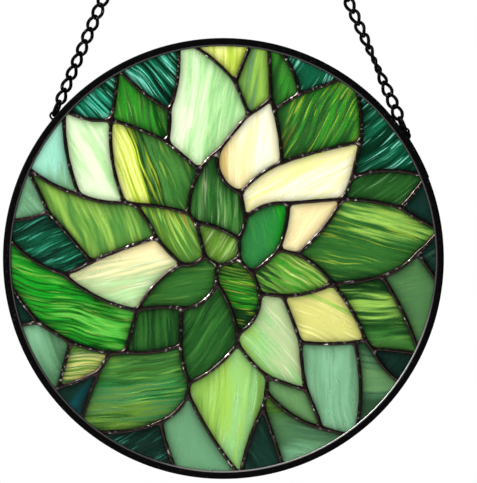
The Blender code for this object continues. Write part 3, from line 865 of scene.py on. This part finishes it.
def tone(name):
    light = []
    for level in tones[name]:
        level = level / screen["white"]
        if level < screen["dark"]:
            light.append(level / screen["darkSlope"])
        else:
            light.append(((level + screen["lift"]) / (1 + screen["lift"])) ** screen["power"])
    return (*[level / glaze["lightBehind"] for level in light], 1)


# Each pane's look: which way the grain runs in degrees, which way the tones drift and how much, how much they
# cloud, how much they streak, the tones in even steps, and the tone and share of the brightest threads
looks = {
    "S1": (92, -30, 0.6, 0.4, 0.3, "foam foam foam seafoam apple", "foam", 0.2),
    "M1": (-62, 30, 0.5, 0.5, 0.4, "mint milk milk mint mint apple", "ivory", 0.4),
    "E1": (-43, 0, 0.1, 0.4, 1.35, "abyss pine pine emerald jade lagoon aqua", "aqua", 0.8),
    "G1": (-75, 0, 0.7, 0.4, 1, "spring grass grass fern ivy ivy", "lime", 0.4),
    "E2": (-55, 90, 0.1, 0.4, 1.35, "abyss pine pine emerald emerald jade lagoon aqua", "aqua", 1.0),
    "L1": (80, 0, 0.7, 0.4, 0.3, "mint milk milk mint apple mint apple", "ivory", 0.4),
    "K1": (85, 0, 0.3, 0.5, 0.5, "lime butter butter acid lime butter", "butter", 0.5),
    "H1": (78, 0, 0.5, 0.5, 0.6, "seafoam mist meadow lime meadow moss", "lime", 0.6),
    "G2": (60, 30, 0.5, 0.3, 0.8, "bottle forest fern grass moss grass", "moss", 0.3),
    "E3": (65, 0, 0.1, 0.4, 1, "pine emerald emerald emerald jade lagoon", "aqua", 0.9),
    "G3": (62, 20, 0.5, 0.5, 0.9, "bronze forest forest fern grass olive olive", "acid", 0.6),
    "E4": (33, 0, 0.1, 0.3, 0.9, "abyss pine pine emerald emerald jade", "aqua", 0.8),
    "C1": (88, 0, 0.8, 0.35, 0.3, "amber peach cream ivory cream straw", "ivory", 0.4),
    "Y1": (-68, 16, 1.1, 0.2, 0.35, "butter butter acid bottle moss fern moss forest", "acid", 0.4),
    "F0": (-72, 60, -0.3, 0.6, 0.6, "olive meadow moss meadow lime meadow", "lime", 0.3),
    "D1": (86, -90, 0.35, 0.3, 1.1, "bottle forest forest fern moss mist", "celadon", 0.5),
    "S3": (-50, 40, 0.4, 0.5, 0.3, "seafoam seafoam sea seafoam sea", "foam", 0.2),
    "E5": (24, 0, 0, 0.5, 0.8, "abyss pine ink emerald pine jade", "lagoon", 0.75),
    "A1": (-12, -60, 0.3, 0.5, 0.85, "spring grass vivid ivy grass spring grass", "lime", 0.4),
    "T4": (88, 0, 0, 0.4, 0.6, "abyss ink dusk dusk teal", "teal", 0.4),
    "S4": (-70, 0, 0.6, 0.4, 0.2, "sea seafoam sea reef drab", "seafoam", 0.1),
    "K2": (-4, -90, 0.5, 0.5, 1, "drab olive sage straw olive sage", "straw", 0.5),
    "T5": (52, -60, 0.4, 0.4, 0.5, "abyss ink dusk seaTeal seaTeal", "seaTeal", 0.3),
    "U1": (4, -90, 0.9, 0.35, 0.55, "drab fern moss forest clover sage olive forest", "lime", 0.4),
    "T6": (27, 0, 0, 0.4, 0.9, "abyss ink ink dusk teal", "lagoon", 0.4),
    "S5": (90, 0, 0.7, 0.35, 0.2, "kelp reef sea sea sea kelp", "seafoam", 0.1),
    "R1": (86, 0, 0.7, 0.4, 0.3, "celadon meadow lime apple meadow sea", "mint", 0.3),
    "T7": (-55, 0, 0, 0.6, 0.4, "abyss ink dusk dusk fern", "sea", 0.15),
    "O1": (-3, -80, 0.8, 0.35, 0.3, "olive drab sage reef sea seafoam", "meadow", 0.2),
    "Z1": (-75, 0, 0.2, 0.5, 0.4, "reef mist mist mist mist", "meadow", 0.3),
    "X1": (-84, 0, 0.5, 0.5, 0.3, "mist sea seafoam sea sea", "milk", 0.15),
    "V1": (-5, -90, 0.9, 0.35, 0.3, "bottle kelp reef mist reef kelp", "seafoam", 0.1),
    "T3": (50, 0, 0, 0.4, 0.3, "abyss ink ink dusk teal", "teal", 0.1),
    "N1": (-50, -140, 0.6, 0.5, 0.3, "seafoam celadon celadon apple lime straw", "milk", 0.3),
    "C4": (-25, -115, 0.6, 0.45, 0.4, "moss lime straw straw straw butter lime", "cream", 0.4),
    "G6": (-2, -90, 1, 0.25, 0.4, "bottle forest lime meadow forest bottle fern moss bottle", "lime", 0.5),
    "G5": (12, 0, 0.1, 0.5, 0.3, "kelp sage sage sage mist", "meadow", 0.3),
    "B1": (-12, -100, 1, 0.3, 0.3, "forest moss lime fern forest fern fern forest forest", "acid", 0.35),
    "G4": (35, 0, 0.1, 0.4, 1, "bottle forest forest fern sage", "mist", 0.6),
    "T1": (40, 0, 0, 0.4, 0.3, "abyss ink dusk dusk teal", "teal", 0.1),
    "T2": (24, 0, 0, 0.4, 0.6, "abyss ink dusk dusk teal", "sea", 0.5),
    "C2": (30, -70, 0.6, 0.5, 0.4, "straw butter cream ivory cream celadon", "butter", 0.6),
    "D2": (-80, 0, 0.9, 0.15, 0.2, "forest clover clover clover clover vivid vivid", "spring", 0.2),
    "C3": (62, 0, 0.6, 0.4, 0.3, "celadon cream peach peach amber", "ivory", 0.3),
    "W1": (-15, -100, 0.9, 0.35, 0.8, "bottle ivy olive bottle grass ivy bottle", "acid", 0.5),
    "Y2": (-30, 30, 0.5, 0.5, 1.1, "forest bottle meadow grass olive lime moss", "butter", 0.5),
    "G7": (8, -90, 0.3, 0.3, 0.8, "bottle forest fern fern moss", "meadow", 0.3),
    "P1": (55, 0, 0, 0.3, 1.15, "bottle forest forest fern moss", "moss", 0.5),
    "Q1": (88, 0, 0.9, 0.3, 0.5, "bottle forest fern bottle forest fern bottle forest", "moss", 0.2),
    "C5": (14, -76, 0.9, 0.35, 0.4, "peach peach cream celadon mint celadon", "ivory", 0.4),
    "F1": (-60, 40, 0.7, 0.4, 0.85, "spring moss olive moss lime bronze amber", "acid", 0.5),
    "S2": (55, 0, 0, 0.3, 1.2, "fern olive olive meadow lime", "milk", 0.5),
}
glaze = {
    "swirlSize": 0.03,  # the streaks wander sideways
    "swirl": 0.008,
    "swirlDetail": 1,
    "cloud": (0.05, 0.0075, 3, 0.5, 0),  # along the grain, across it, detail, distortion, shift
    "thread": (0.034, 0.0017, 3, 0.3, 0.3),
    "hair": (0.018, 0.00075, 1, 0.2, 0.6),
    "driftReach": 0.8,
    "contrast": 1.9,  # noise keeps close to its middle
    "lightBehind": 1.32,  # how much brighter than its own colour a pane looks
    "hairFrom": 0.6,
    "hairTo": 0.69,
    "shadeDepth": 1.35,  # of the dark that a lead throws over the glass beside it
    "paleShadeDepth": {"cream": 1.05, "mint": 1.05, "seafoam": 1.15, "lime": 1.2},
    "shadeTone": (0.16, 0.17, 0.14, 1),
    "roughness": 0.26,
    "roughnessSwing": 0.2,
    "transmission": 0.9,
    "ior": 1.45,
    "gloss": 0.15,
    "glossTone": (0.12, 0.16, 0.14, 1),
    "ripple": 0.00012,
}


def glassFinish(mark):
    grain, drift, driftShare, cloudShare, threadShare, steps, hairTone, hairShare = looks[mark]
    spread = []
    for side in windows[mark]:
        spread += side.points(side.start, side.end)[:2]
    middle = sum(spread) / len(spread)
    reach = max(abs(point - middle) for point in spread)
    centre = onPanel(middle, 0)
    name, kind = panes[mark]
    finish = Finish(name + "_glass", **{
        "Transmission Weight": glaze["transmission"],
        "IOR": glaze["ior"],
        "Specular IOR Level": glaze["gloss"],
        "Specular Tint": glaze["glossTone"],
    })

    seed = list(panes).index(mark)
    swirl = finish.node("TexNoise", {}, {
        "Vector": finish.place(centre + Vector((0, seed, 0))),
        "Scale": 1 / glaze["swirlSize"],
        "Detail": glaze["swirlDetail"],
    }, "Color")
    swirled = finish.node("VectorMath", {"operation": "MULTIPLY_ADD"}, {
        0: swirl,
        1: (glaze["swirl"], 0, glaze["swirl"]),
        2: finish.spot(),
    })

    def streaks(layer):
        length, width, detail, distortion, shift = glaze[layer]
        start = centre + Vector((0, seed + shift, 0))
        place = finish.place(start, -math.radians(grain), (length, 1, width), swirled)
        return finish.cloud(place, 1, detail, distortion)

    cloud = streaks("cloud")
    thread = streaks("thread")
    hairs = finish.rise(streaks("hair"), glaze["hairFrom"], glaze["hairTo"]) * hairShare
    across = finish.place(centre, -math.radians(drift), (reach, 1, reach))
    along = finish.node("SeparateXYZ", {}, {"Vector": across}, "X")
    value = halfWay + along * (driftShare * glaze["driftReach"])
    value = value + cloud.swing(cloudShare * glaze["contrast"])
    value = value + thread.swing(threadShare * glaze["contrast"])
    names = steps.split()
    colour = finish.ramp(value, [(at / (len(names) - 1), tone(name)) for at, name in enumerate(names)])
    colour = finish.blend(hairs, colour, tone(hairTone))
    shade = finish.node("Attribute", {"attribute_name": "shade"}, {}, "Fac")
    dimmed = finish.blend(1, colour, glaze["shadeTone"], "MULTIPLY")
    depth = glaze["paleShadeDepth"].get(kind, glaze["shadeDepth"])
    colour = finish.blend(finish.maths("MINIMUM", shade * depth, 1), colour, dimmed)
    finish.surface(
        Base_Color=colour,
        Roughness=glaze["roughness"] + cloud.swing(glaze["roughnessSwing"]),
        Normal=finish.bump(thread + cloud, glaze["ripple"]),
    )
    return finish.material


for mark, piece in glass.items():
    piece.data.materials.append(glassFinish(mark))
print("glass finished")


# The solder is black with patina, and the tops of the beads are worn bright

patina = {
    "black": (0.007, 0.006, 0.006, 1),
    "bright": (0.38, 0.33, 0.32, 1),
    "warm": (0.014, 0.0095, 0.009, 1),  # worn, but not yet bright
    "flank": (0.05, 0.045, 0.045, 1),  # dark where the beads turn away
    "worn": (0.00166, 0.00186),  # the height where wear begins and where it is whole
    "wornSwing": 0.0004,
    "lumpSize": 0.0016,
    "lumpDetail": 3,
    "patchSize": 0.006,
    "patchDetail": 2,
    "brightLumps": (0.53, 0.79),
    "brightPatches": (0.41, 0.61),
    "roughness": 0.18,
    "wornRoughness": 0.06,
    "roughnessSwing": 0.12,
    "relief": 0.00012,
}


def solderFinish():
    finish = Finish("solder_patina", **{"Metallic": 1, "Specular Tint": patina["flank"]})
    spot = finish.place(panelCentre)
    depth = finish.node("SeparateXYZ", {}, {"Vector": spot}, "Y")
    height = finish.node("Math", {"operation": "ABSOLUTE"}, {0: depth})
    lumps = finish.cloud(spot, 1 / patina["lumpSize"], patina["lumpDetail"])
    patches = finish.cloud(spot, 1 / patina["patchSize"], patina["patchDetail"])
    worn = finish.rise(height + lumps.swing(patina["wornSwing"]), *patina["worn"])
    shine = finish.rise(lumps, *patina["brightLumps"]) * finish.rise(patches, *patina["brightPatches"])
    metal = finish.blend(shine, patina["warm"], patina["bright"])
    roughness = patina["roughness"] + worn * patina["wornRoughness"]
    finish.surface(
        Base_Color=finish.blend(worn, patina["black"], metal),
        Roughness=roughness + lumps.swing(patina["roughnessSwing"]),
        Normal=finish.bump(lumps, patina["relief"]),
    )
    return finish.material


# Satin black on the rim, with worn specks and a painted highlight along the inner edge of its lips, strongest
# on the lower right where the light from the upper left catches them, and the same black on the chain

black = {
    "paint": (0.0003, 0.00025, 0.0003, 1),
    # worn metal for the specks, and the colour of the painted highlight on the rim's lips
    "wearAndHighlight": (0.16, 0.155, 0.15, 1),
    "gloss": 0.012,
    "speckSize": 0.0009,
    "grainSize": 0.0003,
    "detail": 2,
    "specks": (0.66, 0.74),
    "speckShare": 0.5,
    "rimSpeckShare": 0.08,
    "edge": (0.0969, 0.0971),  # the painted highlight lies on the lips inside these radii
    "edgeShare": 0.7,
    "highlightTowards": math.radians(60),  # the side where the painted highlight is strongest, facing the light from the upper left, turned down from the right
    "held": (0.06, 0.09),  # how far out towards that side the painted highlight sets in
    # the share of the painted highlight that the rest of the lips keep
    "heldLeast": 0.15,
    "endless": 1e6,  # flattens the depth away
    "roughness": 0.46,
    "polish": 0.2,
    "roughnessSwing": 0.2,
    "relief": 0.00002,
}


def blackFinish(name, edgeHighlight):
    finish = Finish(name, **{"Specular IOR Level": black["gloss"]})
    spot = finish.place(panelCentre)
    specks = finish.cloud(spot, 1 / black["speckSize"], black["detail"])
    grain = finish.cloud(spot, 1 / black["grainSize"], black["detail"])
    wearAndHighlight = finish.rise(specks, *black["specks"]) * black["speckShare"]
    # painted highlight: brighter metal along the inner edge of the lips, strongest on the lower right, where
    # the light from the upper left falls
    if edgeHighlight:
        flat = finish.place(panelCentre, size=(1, black["endless"], 1))
        reach = finish.node("VectorMath", {"operation": "LENGTH"}, {0: flat}, "Value")
        side = finish.place(panelCentre, black["highlightTowards"])
        side = finish.node("SeparateXYZ", {}, {"Vector": side}, "X")
        held = black["heldLeast"] + finish.rise(side, *black["held"]) * (1 - black["heldLeast"])
        edge = (1 - finish.rise(reach, *black["edge"])) * held
        wearAndHighlight = wearAndHighlight * black["rimSpeckShare"] + edge * black["edgeShare"]
    finish.surface(
        Base_Color=finish.blend(wearAndHighlight, black["paint"], black["wearAndHighlight"]),
        Metallic=wearAndHighlight,
        Roughness=black["roughness"] - wearAndHighlight * black["polish"] + specks.swing(black["roughnessSwing"]),
        Normal=finish.bump(grain, black["relief"]),
    )
    return finish.material


solderBeads.data.materials.append(solderFinish())
rimPaint = blackFinish("rim_satin_black", True)
chainPaint = blackFinish("chain_satin_black", False)
for piece in (rimChannel, rimLap):
    piece.data.materials.append(rimPaint)
for piece in (*eyeArches.values(), *strands.values(), ringWire):
    piece.data.materials.clear()
    piece.data.materials.append(chainPaint)
print("metal finished")


# The room: a pale floor well below the panel, plain white behind it and a soft light from the upper left

room = {
    "floorDown": 0.25,  # below the panel's centre
    "floorRadius": 1.2,
    "floorSides": 96,
    "floorTone": (0.78, 0.78, 0.77, 1),
    "floorGrey": (0.5, 0.5, 0.5, 1),
    "floorGrain": (60, 4),  # scale and detail
    "floorMottle": 0.06,
    "floorRoughness": (0.6, 0.2),  # least, and what the grain adds
    "world": {"From Min": -0.3, "From Max": 0.5, "To Min": 0.45, "To Max": 1},  # dim in front, white behind
    "backPlace": 1.3,  # a soft box behind the panel that the camera doesn't see
    "backSize": 2.34,
    "backGlow": 0.4,  # its brightness
    "keyPlace": (-0.95, -1.25, 0.75),
    "keySize": 0.5,
    "keyPower": 150,
}


def addRoom():
    place = (0, 0, panelCentre.z - room["floorDown"])
    bpy.ops.mesh.primitive_circle_add(
        vertices=room["floorSides"], radius=room["floorRadius"], fill_type="NGON", location=place
    )
    floor = bpy.context.object
    floor.name = "floor"
    finish = Finish("pale_floor")
    grain = finish.cloud(finish.place((0, 0, 0)), *room["floorGrain"])
    roughness, roughnessAdded = room["floorRoughness"]
    finish.surface(
        Base_Color=finish.blend(grain * room["floorMottle"], room["floorTone"], room["floorGrey"]),
        Roughness=roughness + grain * roughnessAdded,
    )
    floor.data.materials.append(finish.material)
    bpy.ops.object.light_add(type="AREA", location=room["keyPlace"])
    light = bpy.context.object
    light.data.energy = room["keyPower"]
    light.data.size = room["keySize"]
    light.rotation_euler = (panelCentre - light.location).to_track_quat("-Z", "Y").to_euler()
    bpy.ops.object.light_add(type="AREA", location=panelCentre + Vector((0, room["backPlace"], 0)))
    back = bpy.context.object
    back.data.size = room["backSize"]
    back.data.energy = room["backGlow"] * math.pi * room["backSize"] ** 2
    back.rotation_euler = (-quarterTurn, 0, 0)
    back.visible_camera = False
    world = bpy.data.worlds.new("studio")
    bpy.context.scene.world = world
    world.use_nodes = True
    nodes = world.node_tree.nodes
    links = world.node_tree.links
    spot = nodes.new("ShaderNodeTexCoord")
    split = nodes.new("ShaderNodeSeparateXYZ")
    level = nodes.new("ShaderNodeMapRange")
    level.interpolation_type = "SMOOTHSTEP"
    for socket, value in room["world"].items():
        level.inputs[socket].default_value = value
    links.new(spot.outputs["Generated"], split.inputs[0])
    links.new(split.outputs["Y"], level.inputs["Value"])
    nodes["Background"].inputs["Color"].default_value = (1, 1, 1, 1)
    links.new(level.outputs[0], nodes["Background"].inputs["Strength"])
    bpy.context.scene.view_settings.view_transform = "Standard"


addRoom()
print("room lit")
